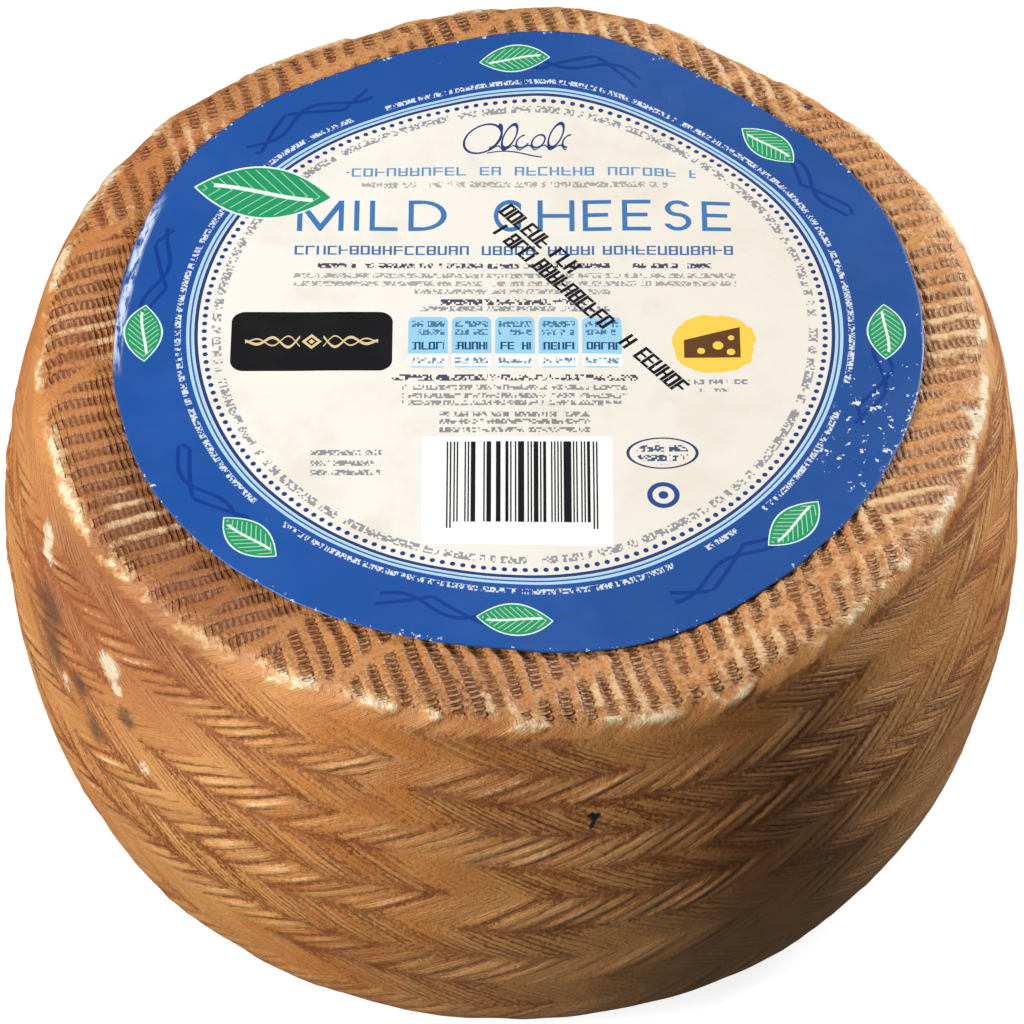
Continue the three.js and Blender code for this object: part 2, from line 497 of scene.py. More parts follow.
radius = radius + lift * out_r
height = height + lift * out_z
x, y = radius * np.cos(turn), radius * np.sin(turn)
shoulder_foot = FACE_LEVEL - TOP_SHOULDER
height = height + swell_at(x, y) * smoothstep(height, shoulder_foot - SWELL_DEPTH, shoulder_foot)
wheel.data.vertices.foreach_set("co", (np.stack([x, y, height], axis=1) * MM).ravel())
wheel.data.update()
print("lowest point, mm:", round(height.min(), 3), " widest:", round(np.hypot(x, y).max(), 2))

# %% [markdown]
# ## What the finish needs to know
#
# The finish follows the print, so the mesh carries a map and a few marks. The map `plait` counts
# grooves and bands on the side, and ribs and beads on the flat faces. The marks say how high
# each place stands, how worn and how crusty it is, whether it is flat, a smooth seam or woven
# side, whether its straws rise to the right, and how clear their print is.

# %% Store the marks and the map on the mesh
def keep_mark(piece, name, values):
    mark = piece.data.attributes.new(name, "FLOAT", "POINT")
    mark.data.foreach_set("value", np.asarray(values, dtype=np.float32))


clear = np.clip(pressed * 1.6, 0, 1)
side_height = (clear * np.clip(side_relief / (0.5 * pressed), 0, 1) + (1 - clear) * 0.5) * (1 - on_flat)
side_height = np.where(in_band > 0.5, side_height, 0.5 * (1 - on_flat))
flat_height = np.clip(rib * rib_pressed + 0.6 * seam, 0, 1) * on_flat
keep_mark(wheel, "crest", np.clip(side_height + flat_height, 0, 1))
worn_straw = 0.8 * rising * in_band * crest ** 1.5 * lens * (0.3 + 0.7 * luck) * pressed * (1 - on_flat)
wear = np.clip(0.22 + 0.4 * smoothstep(x, -30, 35) + rough(laid, 16, 31), 0, 1)
worn_rib = 0.75 * on_flat * rib * wear
keep_mark(wheel, "worn", np.clip(worn_straw + worn_rib, 0, 1))
crust = bell(laid_walk - ridge_line + 0.3, 1.5) * (0.2 + 0.8 * ridge_break)
keep_mark(wheel, "crust", np.clip(crust, 0, 1))
keep_mark(wheel, "flat", np.clip(on_flat, 0, 1))
keep_mark(wheel, "seam", seam)
woven = smoothstep(laid_walk, RIDGE_WALK + 0.8, RIDGE_WALK + 2.6)
woven *= 1 - smoothstep(laid_walk, foot_end - 7, foot_end - 3)
keep_mark(wheel, "woven", woven)
keep_mark(wheel, "rising", rising * in_band * (1 - on_flat))
keep_mark(wheel, "clear", clear)

corners = np.empty(len(wheel.data.loops), dtype=np.int64)
wheel.data.loops.foreach_get("vertex_index", corners)
face_start = np.empty(len(wheel.data.polygons), dtype=np.int64)
face_size = np.empty(len(wheel.data.polygons), dtype=np.int64)
wheel.data.polygons.foreach_get("loop_start", face_start)
wheel.data.polygons.foreach_get("loop_total", face_size)
face_of = np.repeat(np.arange(len(face_start)), face_size)

corner_groove = groove[corners]
first_groove = corner_groove[face_start][face_of]
corner_groove = corner_groove - GROOVES * np.round((corner_groove - first_groove) / GROOVES)
flat_face = (on_flat[corners][face_start] > 0.5)[face_of]
face_degrees = flat_degrees[corners][face_start][face_of]
corner_along, corner_across = along_and_across(x[corners], y[corners], rib_direction(face_degrees))
map_u = np.where(flat_face, (corner_across + rib_wander[corners]) / RIB_PITCH, corner_groove)
map_v = np.where(flat_face, corner_along / BEAD_PITCH, band_at(laid_walk)[corners])
plait = wheel.data.uv_layers.new(name="plait")
plait.data.foreach_set("uv", np.stack([map_u, map_v], axis=1).ravel())
deselect_all()
wheel.select_set(True)
bpy.context.view_layer.objects.active = wheel
bpy.ops.object.shade_smooth()
print("marks:", [mark.name for mark in wheel.data.attributes if mark.data_type == "FLOAT"])

# %% [markdown]
# ## The paper label
#
# The label is a thin disc of paper. It is turned like the wheel, from its rim to its middle, and
# then laid on the cheese by the same formula as the CAD model. The paper is a little wavy, its
# cut edge is not a perfect circle, and at the left it lifts and curls back.

# %% Turn the disc of paper
LABEL_X = (label_high.x + label_low.x) / 2 / MM
LABEL_Y = (label_high.y + label_low.y) / 2 / MM
LABEL_RADIUS = (label_high.x - label_low.x) / 2 / MM
LABEL_MIDDLE = (round(LABEL_X, 1), round(LABEL_Y, 1))
PAPER_RADIUS = round(LABEL_RADIUS - 0.1, 1)
PAPER_THICKNESS = 0.22
PAPER_GAP = 0.14         # the sheet keeps this far off the cheese
PAPER_COLUMNS = 420
PAPER_PITCH = 1.9        # distance between its rings of vertices
CURL_ANGLE = 172         # where the edge curls up, degrees round the label
CURL_SPREAD = 15
CURL_REACH = 9           # how far in from the edge the curl reaches
CURL_HEIGHT = 1.7

BORDER_START = 61.3      # the blue border begins here
UPPER_ZONE = 17.3        # two straight cuts part the cream field into three zones of print
LOWER_ZONE = -11.3

paper_line = [(PAPER_RADIUS, 0), (PAPER_RADIUS - 0.5, 0), (PAPER_RADIUS - 1.1, 0)]
paper_line += [(r, 0) for r in np.linspace(PAPER_RADIUS - 2.2, BORDER_START, 8)]
paper_line += [(r, 0) for r in np.arange(BORDER_START - PAPER_PITCH, PAPER_PITCH, -PAPER_PITCH)]
label = turned("label", paper_line, PAPER_COLUMNS)
select_rings(label, paper_line[-1:])
bpy.ops.mesh.merge(type="CENTER")
for cut in (UPPER_ZONE, LOWER_ZONE):
    bpy.ops.mesh.select_all(action="SELECT")
    bpy.ops.mesh.bisect(plane_co=(0, cut * MM, 0), plane_no=(0, 1, 0))
bpy.ops.mesh.select_all(action="SELECT")
bpy.ops.mesh.normals_make_consistent(inside=False)
bpy.ops.object.mode_set(mode="OBJECT")
print("label:", len(label.data.vertices), "vertices")

# %% Lay it on the cheese
sheet = vertex_places(label) / MM
sheet_turn = np.degrees(np.arctan2(sheet[:, 1], sheet[:, 0]))
sheet_radius = np.hypot(sheet[:, 0], sheet[:, 1])
rim_share = smoothstep(sheet_radius, PAPER_RADIUS - 8, PAPER_RADIUS)
curl_share = bell(turn_between(sheet_turn, CURL_ANGLE), CURL_SPREAD)
pull_in = 0.35 * rim_share * (0.5 + 0.5 * rough(sheet, 9, 21)) + 1.9 * rim_share * curl_share
sheet_radius = sheet_radius - pull_in
sheet_x = LABEL_MIDDLE[0] + sheet_radius * np.cos(np.radians(sheet_turn))
sheet_y = LABEL_MIDDLE[1] + sheet_radius * np.sin(np.radians(sheet_turn))
spots = np.stack([sheet_x, sheet_y, np.zeros_like(sheet_x)], axis=1)
waves = 0.32 * (0.5 + 0.5 * rough(spots, 23, 22)) + 0.16 * (0.5 + 0.5 * rough(spots, 9, 23))
to_rim = np.clip((sheet_radius - (PAPER_RADIUS - CURL_REACH)) / CURL_REACH, 0, 1)
curl = CURL_HEIGHT * curl_share * to_rim ** 2
sheet_z = FACE_LEVEL + swell_at(sheet_x, sheet_y) + PAPER_GAP + waves + curl
label.data.vertices.foreach_set("co", (np.stack([sheet_x, sheet_y, sheet_z], axis=1) * MM).ravel())
label.data.update()
deselect_all()
label.select_set(True)
bpy.context.view_layer.objects.active = label
bpy.ops.object.shade_smooth()
up_share = sum(polygon.normal.z > 0 for polygon in label.data.polygons) / len(label.data.polygons)
print("faces looking up:", round(up_share, 2))

# %% Give the paper its thickness
wall = label.modifiers.new("paper", "SOLIDIFY")
wall.thickness = PAPER_THICKNESS * MM
wall.offset = 1
wall.use_even_offset = True
wall.material_offset = 1
wall.material_offset_rim = 1
bpy.ops.object.modifier_apply(modifier=wall.name)
print("label with its wall:", len(label.data.vertices), "vertices")

# %% [markdown]
# ## A few helpers for building finishes from nodes
#
# Every finish below is a small machine of nodes. These helpers add their nodes to the finish
# opened last, which is always called `tree`, and return the output of the last node, so that a
# finish reads like a sum. Where a helper is given a number instead of another node's output, it
# sets the number on the socket.

# %% Node helpers: numbers and colours
def ink(red, green, blue):
    """A colour given as it looks on paper, from 0 to 255, turned into the linear light Blender uses."""
    shares = [c / 255 for c in (red, green, blue)]
    return (*[((s + 0.055) / 1.055) ** 2.4 if s > 0.04 else s / 12.92 for s in shares], 1)


def new_finish(name):
    global tree
    finish = bpy.data.materials.new(name)
    finish.use_nodes = True
    tree = finish.node_tree
    tree.nodes.clear()
    return finish


def show(surface):
    """Makes a surface the one that the finish shows."""
    tree.links.new(surface.outputs[0], tree.nodes.new("ShaderNodeOutputMaterial").inputs[0])


def feed(socket, value):
    if isinstance(value, bpy.types.NodeSocket):
        tree.links.new(value, socket)
    elif value is not None:
        socket.default_value = value


def maths(operation, *values):
    node = tree.nodes.new("ShaderNodeMath")
    node.operation = operation
    for socket, value in zip(node.inputs, values):
        feed(socket, value)
    return node.outputs[0]


def times(*values):
    result = values[0]
    for value in values[1:]:
        result = maths("MULTIPLY", result, value)
    return result


def either(*masks):
    result = masks[0]
    for mask in masks[1:]:
        result = maths("MAXIMUM", result, mask)
    return result


def remap(value, low, high, to_low=0.0, to_high=1.0, smooth=True):
    node = tree.nodes.new("ShaderNodeMapRange")
    node.interpolation_type = "SMOOTHSTEP" if smooth else "LINEAR"
    names = ("Value", "From Min", "From Max", "To Min", "To Max")
    for name, amount in zip(names, (value, low, high, to_low, to_high)):
        feed(node.inputs[name], amount)
    return node.outputs["Result"]


def blend_colours(share, under, over):
    node = tree.nodes.new("ShaderNodeMix")
    node.data_type = "RGBA"
    feed(node.inputs["Factor"], share)
    feed(node.inputs[6], under)
    feed(node.inputs[7], over)
    return node.outputs[2]


print("helpers for numbers and colours ready")


# %% Node helpers: places, grain and bumps
def mark_of(name):
    node = tree.nodes.new("ShaderNodeAttribute")
    node.attribute_name = name
    return node.outputs["Fac"]


def vector_maths(operation, *values, out=0):
    node = tree.nodes.new("ShaderNodeVectorMath")
    node.operation = operation
    for socket, value in zip(node.inputs, values):
        feed(socket, value)
    return node.outputs[out]


def place_in_mm():
    """Where the shaded point is on the finished piece, in millimetres."""
    where = tree.nodes.new("ShaderNodeTexCoord")
    node = tree.nodes.new("ShaderNodeVectorMath")
    node.operation = "SCALE"
    tree.links.new(where.outputs["Object"], node.inputs[0])
    node.inputs["Scale"].default_value = 1 / MM
    return node.outputs[0]


def grain(place, lump, detail=3.0, roughness=0.5):
    """Noise from 0 to 1, with lumps of the given width, in the units of `place`."""
    node = tree.nodes.new("ShaderNodeTexNoise")
    feed(node.inputs["Vector"], place)
    node.inputs["Scale"].default_value = 1 / lump
    node.inputs["Detail"].default_value = detail
    node.inputs["Roughness"].default_value = roughness
    return node.outputs["Fac"]


def combine(x, y, z=0.0):
    node = tree.nodes.new("ShaderNodeCombineXYZ")
    for socket, value in zip(node.inputs, (x, y, z)):
        feed(socket, value)
    return node.outputs[0]


def parts_of(vector):
    node = tree.nodes.new("ShaderNodeSeparateXYZ")
    feed(node.inputs[0], vector)
    return node.outputs


def bumped(level, distance, strength=1.0, under=None):
    node = tree.nodes.new("ShaderNodeBump")
    node.inputs["Strength"].default_value = strength
    node.inputs["Distance"].default_value = distance * MM
    feed(node.inputs["Height"], level)
    feed(node.inputs["Normal"], under)
    return node.outputs["Normal"]


print("helpers for places ready")


# %% Sums, differences and comparisons by their plain names
def minus(value, amount):
    return maths("SUBTRACT", value, amount)


def plus(value, amount):
    return maths("ADD", value, amount)


def size_of(value):
    return maths("ABSOLUTE", value)


def below(value, limit):
    return maths("LESS_THAN", value, limit)


def above(value, limit):
    return maths("GREATER_THAN", value, limit)


def distance(x, y):
    return maths("SQRT", plus(times(x, x), times(y, y)))


def luck_of(x, y, seed):
    """One random number for each cell of a grid, given the cell's whole numbers."""
    node = tree.nodes.new("ShaderNodeTexWhiteNoise")
    node.noise_dimensions = "3D"
    feed(node.inputs["Vector"], combine(x, y, seed))
    return node.outputs["Value"]


def cell_of(value, pitch):
    return maths("FLOOR", maths("DIVIDE", value, pitch))


print("every helper ready")

# %% [markdown]
# ## The rind
#
# The rind is tanned by oil and age. The grooves are dark brown and the crests are paler, and
# the most worn crests and the ridge of the rim are cream. Slow changes of colour run over the
# whole wheel: redder at the upper left, more grey-brown near the foot.

# %% The rind: its colours
rind = new_finish("oiled rind")
place = place_in_mm()
crest = mark_of("crest")
worn = mark_of("worn")
flat = mark_of("flat")
seam_mark = mark_of("seam")
woven_mark = mark_of("woven")
rising_mark = mark_of("rising")
clear_mark = mark_of("clear")
slow = grain(place, 42, 2)
patch = grain(place, 11, 3, 0.6)
speckle = grain(place, 0.9, 4, 0.65)
pores = grain(place, 0.33, 2, 0.6)

ground = blend_colours(remap(slow, 0.38, 0.62), ink(200, 126, 60), ink(214, 150, 84))
ground = blend_colours(remap(patch, 0.45, 0.7, 0, 0.5), ground, ink(216, 162, 98))
ground = blend_colours(times(flat, 0.6), ground, ink(206, 150, 100))
ground = blend_colours(times(flat, remap(speckle, 0.55, 0.32), 0.6), ground, ink(146, 82, 40))
deep = blend_colours(remap(patch, 0.35, 0.6), ink(126, 68, 28), ink(152, 92, 44))
high = blend_colours(rising_mark, ink(208, 142, 78), ink(224, 174, 112))
level = plus(crest, remap(speckle, 0.3, 0.7, -0.22, 0.22))
colour = blend_colours(remap(level, 0.0, 0.38), deep, ground)
colour = blend_colours(remap(level, 0.42, 0.95, 0, 0.85), colour, high)
print("rind colours laid down")

# %% [markdown]
# ## Straw fibres, and the beads between the ribs
#
# Two fine patterns are too small for the mesh. Straw leaves hair-thin lines along each groove,
# so noise is stretched along the map. The matting leaves rows of small bars between the ribs.

# %% The rind: fibres and beads
map_node = tree.nodes.new("ShaderNodeUVMap")
map_node.uv_map = "plait"
map_u, map_v, _ = parts_of(map_node.outputs[0])
fibre_place = combine(times(map_u, 5.0), times(map_v, 1.6), rising_mark)
fibres = grain(fibre_place, 1.0, 3, 0.6)
on_side_share = minus(1.0, flat)

bead_wave = maths("SINE", times(plus(map_v, remap(patch, 0.3, 0.7, -0.3, 0.3)), 2 * math.pi))
between_ribs = remap(maths("COSINE", times(map_u, 2 * math.pi)), -0.35, 0.45)
between_ribs = times(between_ribs, remap(seam_mark, 0.7, 0.15), remap(patch, 0.62, 0.4, 0.45, 1.0))
rubbed = remap(parts_of(place)[0], -30, 45)
beads = times(remap(bead_wave, -0.5, 0.5), between_ribs, flat)
bead_fade = remap(grain(place, 8, 2), 0.35, 0.6, 0.35, 1.0)
beads = times(beads, bead_fade, minus(1.0, seam_mark))
teeth = times(remap(bead_wave, 0.1, -0.7), flat, remap(between_ribs, 0.0, 0.5, 0.3, 1.0), bead_fade)
teeth = times(teeth, minus(1.0, seam_mark), minus(1.0, times(rubbed, 0.6)))

lean = maths("MODULO", maths("FLOOR", map_v), 2.0)
stray = times(minus(grain(place, 3.4, 2), 0.5), 0.9)
straw_u = times(plus(map_u, stray), minus(1.0, times(lean, 0.5)))
straw_luck_node = luck_of(maths("FLOOR", straw_u), maths("FLOOR", map_v), 3.0)
straw_edge = remap(size_of(minus(maths("FRACT", straw_u), 0.5)), 0.27, 0.47)
straw_lines = times(straw_edge, remap(fibres, 0.62, 0.38, 0.25, 1.0),
                    remap(straw_luck_node, 0.1, 0.9, 0.35, 1.0), woven_mark,
                    remap(plus(times(patch, 0.6), times(slow, 0.4)), 0.42, 0.58, 0.06, 1.0))
reach = size_of(minus(maths("FRACT", map_v), 0.5))
straw_lines = times(straw_lines, remap(minus(reach, times(straw_luck_node, 0.2)), 0.36, 0.2))
straw_lines = times(straw_lines, remap(clear_mark, 0.1, 0.6, 0.5, 1.0))
straw_tone = times(remap(straw_luck_node, 0.0, 1.0, -0.5, 0.5, smooth=False), on_side_share)
straw_tone = times(straw_tone, remap(clear_mark, 0.1, 0.6, 0.55, 1.0))

dark_fibre = times(remap(fibres, 0.5, 0.3), on_side_share)
colour = blend_colours(times(remap(straw_tone, 0.05, 0.5), 0.35), colour, ink(222, 166, 104))
colour = blend_colours(times(remap(straw_tone, -0.05, -0.5), 0.35), colour, ink(150, 88, 42))
colour = blend_colours(times(dark_fibre, 0.4), colour, ink(126, 72, 32))
colour = blend_colours(times(straw_lines, 0.62), colour, ink(120, 60, 26))
colour = blend_colours(times(between_ribs, flat, minus(0.6, times(rubbed, 0.2))), colour, ink(118, 60, 24))
colour = blend_colours(times(beads, 0.7), colour, ink(222, 166, 110))
colour = blend_colours(times(teeth, 0.5), colour, ink(104, 52, 22))
colour = blend_colours(times(remap(pores, 0.42, 0.3), 0.35), colour, ink(120, 70, 36))
print("fibres and beads added")

# %% [markdown]
# ## Wear, stains, specks and painted shade
#
# Wear shows as cream where the oil has rubbed off. The stains and specks are small accidents at
# particular places, so each is given by its direction round the wheel and its distance down
# the section. A soft ball around that place, with a ragged edge, marks where it shows. Painted
# shade is placed the same way: under the rim at the front, and along the lower left edge of the
# label, where the rind is also a deeper reddish brown.

# %% The rind: wear, marks and painted shade
def surface_point(degrees, walk_there):
    """The place of a spot given by its direction and its distance down the section."""
    r, z, _, _ = section_line(walk_there)
    x, y = r * math.cos(math.radians(degrees)), r * math.sin(math.radians(degrees))
    z = z + float(swell_at(x, y)) * float(smoothstep(z, shoulder_foot - SWELL_DEPTH, shoulder_foot))
    return (x, y, z)


other_grain = grain(vector_maths("ADD", place, (31.0, 7.0, 5.0)), 2.6, 3)
strays = combine(minus(grain(place, 2.6, 3), 0.5), minus(other_grain, 0.5), minus(speckle, 0.5))
strays = vector_maths("SCALE", strays)
strays.node.inputs["Scale"].default_value = 5.0
ragged = vector_maths("ADD", place, strays)


def blotch(degrees, walk_there, size, soft=0.4):
    """A ragged spot of the given width on the rind."""
    away = vector_maths("DISTANCE", ragged, surface_point(degrees, walk_there), out=1)
    return remap(away, size / 2 * (1 + soft), size / 2 * (1 - soft))


def blotches(*spots):
    return either(*[blotch(*spot) for spot in spots])


crumbs = grain(place, 1.9, 3, 0.6)
ragged_worn = plus(worn, plus(times(minus(crumbs, 0.5), 0.9), times(minus(speckle, 0.5), 0.8)))
cream = times(remap(ragged_worn, 0.3, 0.8), remap(worn, 0.08, 0.3), 0.72)
crust = mark_of("crust")
ragged_crust = plus(crust, plus(times(minus(crumbs, 0.5), 1.3), times(minus(speckle, 0.5), 1.1)))
faded = times(remap(parts_of(place)[0], -45, 35), remap(parts_of(place)[2], 66, 28), on_side_share)
faded = times(faded, remap(patch, 0.3, 0.6, 0.5, 1.0))
colour = blend_colours(times(faded, 0.45), colour, ink(166, 128, 80))
redder = blotches((-150, 112, 42, 0.7), (-136, 106, 26, 0.7))
colour = blend_colours(times(redder, 0.45), colour, ink(142, 78, 46))
warmer = blotches((152, 84, 66, 0.9), (186, 84, 60, 0.9), (222, 86, 56, 0.9))
colour = blend_colours(times(warmer, 0.34), colour, ink(182, 96, 42))
# painted shade: deeper brown just under the rim at the front, where the overhanging rim shades the side
painted_shade_under_rim = blotches((-92, 106, 50, 0.9), (-66, 108, 40, 0.9))
colour = blend_colours(times(painted_shade_under_rim, 0.2), colour, ink(96, 54, 26))
# painted shadow of the label's lower left edge, over rind that is also a deeper reddish brown there
label_shadow_and_dark_rind = blotches((-148, 80, 34, 0.9), (-134, 80, 30, 0.9))
colour = blend_colours(times(label_shadow_and_dark_rind, 0.42), colour, ink(92, 46, 22))
colour = blend_colours(cream, colour, ink(238, 208, 160))
crusty = times(remap(plus(times(crumbs, 0.6), times(speckle, 0.4)), 0.48, 0.62), flat, rubbed, 0.36)
colour = blend_colours(crusty, colour, ink(232, 194, 144))
crust_share = times(remap(ragged_crust, 0.2, 0.7), remap(crust, 0.05, 0.4), 0.7)
colour = blend_colours(crust_share, colour, ink(222, 176, 122))
colour = blend_colours(times(remap(ragged_crust, 0.7, 0.95), 0.85), colour, ink(240, 220, 184))
print("wear added")

# %% The rind: stains, scars and specks
stains = blotches((-154.2, 117, 10, 0.7), (-152.6, 124.5, 8, 0.7), (-137.5, 120.3, 5, 0.5),
                  (-143, 133, 6, 0.7), (-146, 124, 5, 0.7))
scars = blotches((-157.3, 101.6, 4.6), (-156.4, 105.0, 4.2), (-141, 111, 5.4), (-11.7, 88, 4.2),
                 (-139.5, 115, 3.6), (-134, 130, 3.2), (-149, 129, 3.6))
specks = blotches((-81.2, 111.0, 2.3, 0.2), (-81.0, 112.8, 1.9, 0.2), (-82.3, 117.2, 1.4, 0.2),
                  (-18.3, 122.6, 1.1, 0.2), (-11.7, 88.4, 0.9, 0.2), (47.8, 86.5, 2.0, 0.4))
colour = blend_colours(times(stains, 0.75), colour, ink(92, 62, 44))
colour = blend_colours(times(scars, 0.85), colour, ink(240, 222, 190))
colour = blend_colours(specks, colour, ink(26, 28, 32))
print("stains, scars and specks added")

# %% The rind: its surface
surface = tree.nodes.new("ShaderNodeBsdfPrincipled")
feed(surface.inputs["Base Color"], colour)
feed(surface.inputs["Roughness"], remap(plus(patch, times(crest, -0.18)), 0.2, 0.65, 0.38, 0.62))
surface.inputs["Specular IOR Level"].default_value = 0.45
shape = bumped(plus(beads, times(teeth, -0.6)), 0.8, 1.0)
shape = bumped(times(crumbs, plus(times(flat, 0.7), 0.3)), 0.7, 0.7, shape)
shape = bumped(times(straw_lines, -1.0), 0.26, 0.9, shape)
shape = bumped(times(fibres, on_side_share), 0.3, 0.7, shape)
shape = bumped(speckle, 0.3, 0.7, shape)
shape = bumped(pores, 0.12, 0.8, shape)
feed(surface.inputs["Normal"], shape)
show(surface)
wheel.data.materials.append(rind)
print("rind nodes:", len(tree.nodes))

# %% [markdown]
# ## Printing the label
#
# The print is drawn by masks: each mask is 1 where its ink lies and 0 elsewhere, measured in
# millimetres from the middle of the label. A comparison node gives a band in one step, so a box
# is two bands multiplied, and a ring is a band of distances from the middle. The print is
# generic: a plain title, leaves for decoration, and small print that only looks like words.
#
# One finish with all of this in it would be too large for the renderer, so the label is printed
# in four zones: the blue border, and the upper, middle and lower parts of the cream field. Each
# part of the print is a function that lays its ink over a colour, and each zone calls its own.

# %% Start a zone of the print
def start_print(name):
    """Opens a new finish and measures the places that the masks are drawn by."""
    global printed, place, X, Y, RING, ANGLE, words
    printed = new_finish(name)
    place = place_in_mm()
    X, Y, _ = parts_of(vector_maths("SUBTRACT", place, (LABEL_MIDDLE[0], LABEL_MIDDLE[1], 0)))
    RING = distance(X, Y)
    ANGLE = maths("ARCTAN2", Y, X)
    words = small_print(X, Y, 0.36, 0.42, 0.4)


print("the print is measured from, mm:", LABEL_MIDDLE)


# %% Helpers that draw with masks
def within(value, low, high):
    return maths("COMPARE", value, (low + high) / 2, (high - low) / 2)


def box(x_low, x_high, y_low, y_high):
    return times(within(X, x_low, x_high), within(Y, y_low, y_high))


def cut_out(mask, hole):
    return times(mask, minus(1.0, hole))


def small_print(x, y, width=0.36, rise=0.42, share=0.42):
    """Specks that read as lines of tiny words, with gaps between the words."""
    specks = above(luck_of(cell_of(x, width), cell_of(y, rise), 1.0), share)
    words = above(luck_of(cell_of(x, width * 2.4), cell_of(y, rise * 5), 2.0), 0.16)
    return times(specks, words)


def capitals(x, y, rise, pitch, seed, stroke=0.15):
    """A row of upright letter-like marks, each a random choice of stems and bars."""
    letter = cell_of(x, pitch)
    gx = maths("FRACT", maths("DIVIDE", x, pitch))
    gy = maths("DIVIDE", y, rise)
    left = within(gx, 0.0, stroke)
    right = times(within(gx, 0.62, 0.62 + stroke), above(luck_of(letter, seed, 1.0), 0.35))
    bars = either(times(within(gy, 0.84, 1.0), above(luck_of(letter, seed, 2.0), 0.4)),
                  times(within(gy, 0.43, 0.57), above(luck_of(letter, seed, 3.0), 0.45)),
                  times(within(gy, 0.0, 0.16), above(luck_of(letter, seed, 4.0), 0.45)))
    marks = either(left, right, times(bars, within(gx, 0.0, 0.62 + stroke)))
    words = above(luck_of(letter, seed, 5.0), 0.1)
    return times(marks, words, within(gy, 0.0, 1.0))


def inked(under, mask, colour, strength=1.0):
    share = mask if strength == 1.0 else times(mask, strength)
    return blend_colours(share, under, colour)


print("mask helpers ready")

# %% [markdown]
# ## The rings of the label
#
# From the middle outwards come the cream field, a ring of small print, a ring of navy dots, two
# thin lines and the wide blue border with its white small print. Faint scrolls lie in the blue.

# %% The cream field and its rings
NAVY = ink(32, 62, 122)
PALE_BLUE = ink(168, 208, 234)
WHITE_INK = ink(240, 244, 250)
GREY_INK = ink(96, 104, 120)
DOTS = 194
DOT_RING = 58.5


def cream_field():
    colour = blend_colours(remap(X, -40, 48), ink(237, 233, 224), ink(231, 224, 212))
    colour = blend_colours(remap(grain(place, 13, 4, 0.6), 0.45, 0.7, 0, 0.55), colour, ink(222, 212, 196))
    ring_print = small_print(times(ANGLE, 57.0), RING, 0.4, 0.44, 0.45)
    colour = inked(colour, times(ring_print, within(RING, 55.4, 57.1)), GREY_INK, 0.75)
    dot_turn = maths("FRACT", times(ANGLE, DOTS / (2 * math.pi)))
    dot_x = times(minus(dot_turn, 0.5), 2 * math.pi * DOT_RING / DOTS)
    dot_y = minus(RING, DOT_RING)
    dots = below(plus(times(dot_x, dot_x), times(dot_y, dot_y)), 0.5 ** 2)
    colour = inked(colour, either(dots, within(RING, 59.7, 60.4)), NAVY)
    colour = inked(colour, above(RING, 60.5), PALE_BLUE)
    return inked(colour, above(RING, 60.95), NAVY, 0.9)


print("ring of dots at, mm:", DOT_RING)


# %% The blue border and its faint scrolls
def blue_border():
    colour = blend_colours(remap(X, -60, 70), ink(30, 80, 156), ink(38, 79, 146))
    colour = blend_colours(remap(grain(place, 30, 2), 0.4, 0.7, 0, 0.3), colour, ink(44, 94, 170))
    colour = inked(colour, below(RING, 61.9), ink(176, 210, 236))
    outer_print = small_print(times(ANGLE, 64.0), RING, 0.26, 0.36, 0.42)
    print_gap = above(luck_of(cell_of(ANGLE, 0.11), 3.0, 8.0), 0.07)
    colour = inked(colour, times(outer_print, print_gap, within(RING, 62.9, 64.1)), WHITE_INK, 0.72)
    scroll_middle = plus(times(maths("SINE", times(ANGLE, 21)), 1.7), 69.2)
    scroll_line = below(size_of(minus(RING, scroll_middle)), 0.42)
    curl_side = times(minus(RING, 66.8), 0.2)
    curls = below(size_of(minus(maths("PINGPONG", times(ANGLE, 21 / math.pi), 1.0), curl_side)), 0.09)
    where = above(maths("SINE", times(plus(ANGLE, 0.35), 8)), -0.1)
    scrolls = times(either(scroll_line, curls), where, within(RING, 66.6, 71.8))
    return inked(colour, scrolls, ink(12, 52, 132), 0.8)


print("dots in the ring:", DOTS)

# %% [markdown]
# ## Leaves
#
# The border is decorated with green leaves that lie along the ring, and one larger leaf lies
# across the ring at the upper left. A leaf is two arcs: its half width falls with the square of
# the distance from its middle. A pale outline and a pale vein finish each leaf.

# %% Leaves
LEAF_RING = 70.0
LEAF_ANGLES = (90, 45, -1, -43, -90, -134, 181)
LEAF_LENGTH, LEAF_WIDTH = 14.0, 7.4
GREEN = ink(34, 150, 96)
LEAF_EDGE = ink(226, 240, 232)


def leaf(colour, along_leaf, across_leaf, length, width, edge):
    """Prints one leaf, given distances along and across it."""
    share = times(along_leaf, 2 / length)
    room = minus(times(minus(1.0, times(share, share)), width / 2), size_of(across_leaf))
    colour = inked(colour, above(room, 0.0), LEAF_EDGE)
    colour = inked(colour, above(room, edge), GREEN)
    wavy = plus(across_leaf, times(maths("SINE", times(along_leaf, 4.5 / length)), width * 0.07))
    vein = times(below(size_of(wavy), width * 0.035), below(size_of(along_leaf), length * 0.36))
    zigzag = maths("PINGPONG", plus(along_leaf, size_of(across_leaf)), length * 0.09)
    side_veins = below(size_of(minus(zigzag, length * 0.045)), 0.13)
    side_veins = times(side_veins, above(room, edge + 0.5))
    return inked(colour, either(vein, times(side_veins, 0.55)), LEAF_EDGE)


def ring_of_leaves(colour):
    nearest = None
    for degrees in LEAF_ANGLES:
        away = maths("WRAP", minus(ANGLE, math.radians(degrees)), math.pi, -math.pi)
        near = below(size_of(away), 0.3)
        nearest = away if nearest is None else plus(times(away, near), times(nearest, minus(1.0, near)))
    return leaf(colour, times(nearest, LEAF_RING), minus(RING, LEAF_RING), LEAF_LENGTH, LEAF_WIDTH, 0.3)


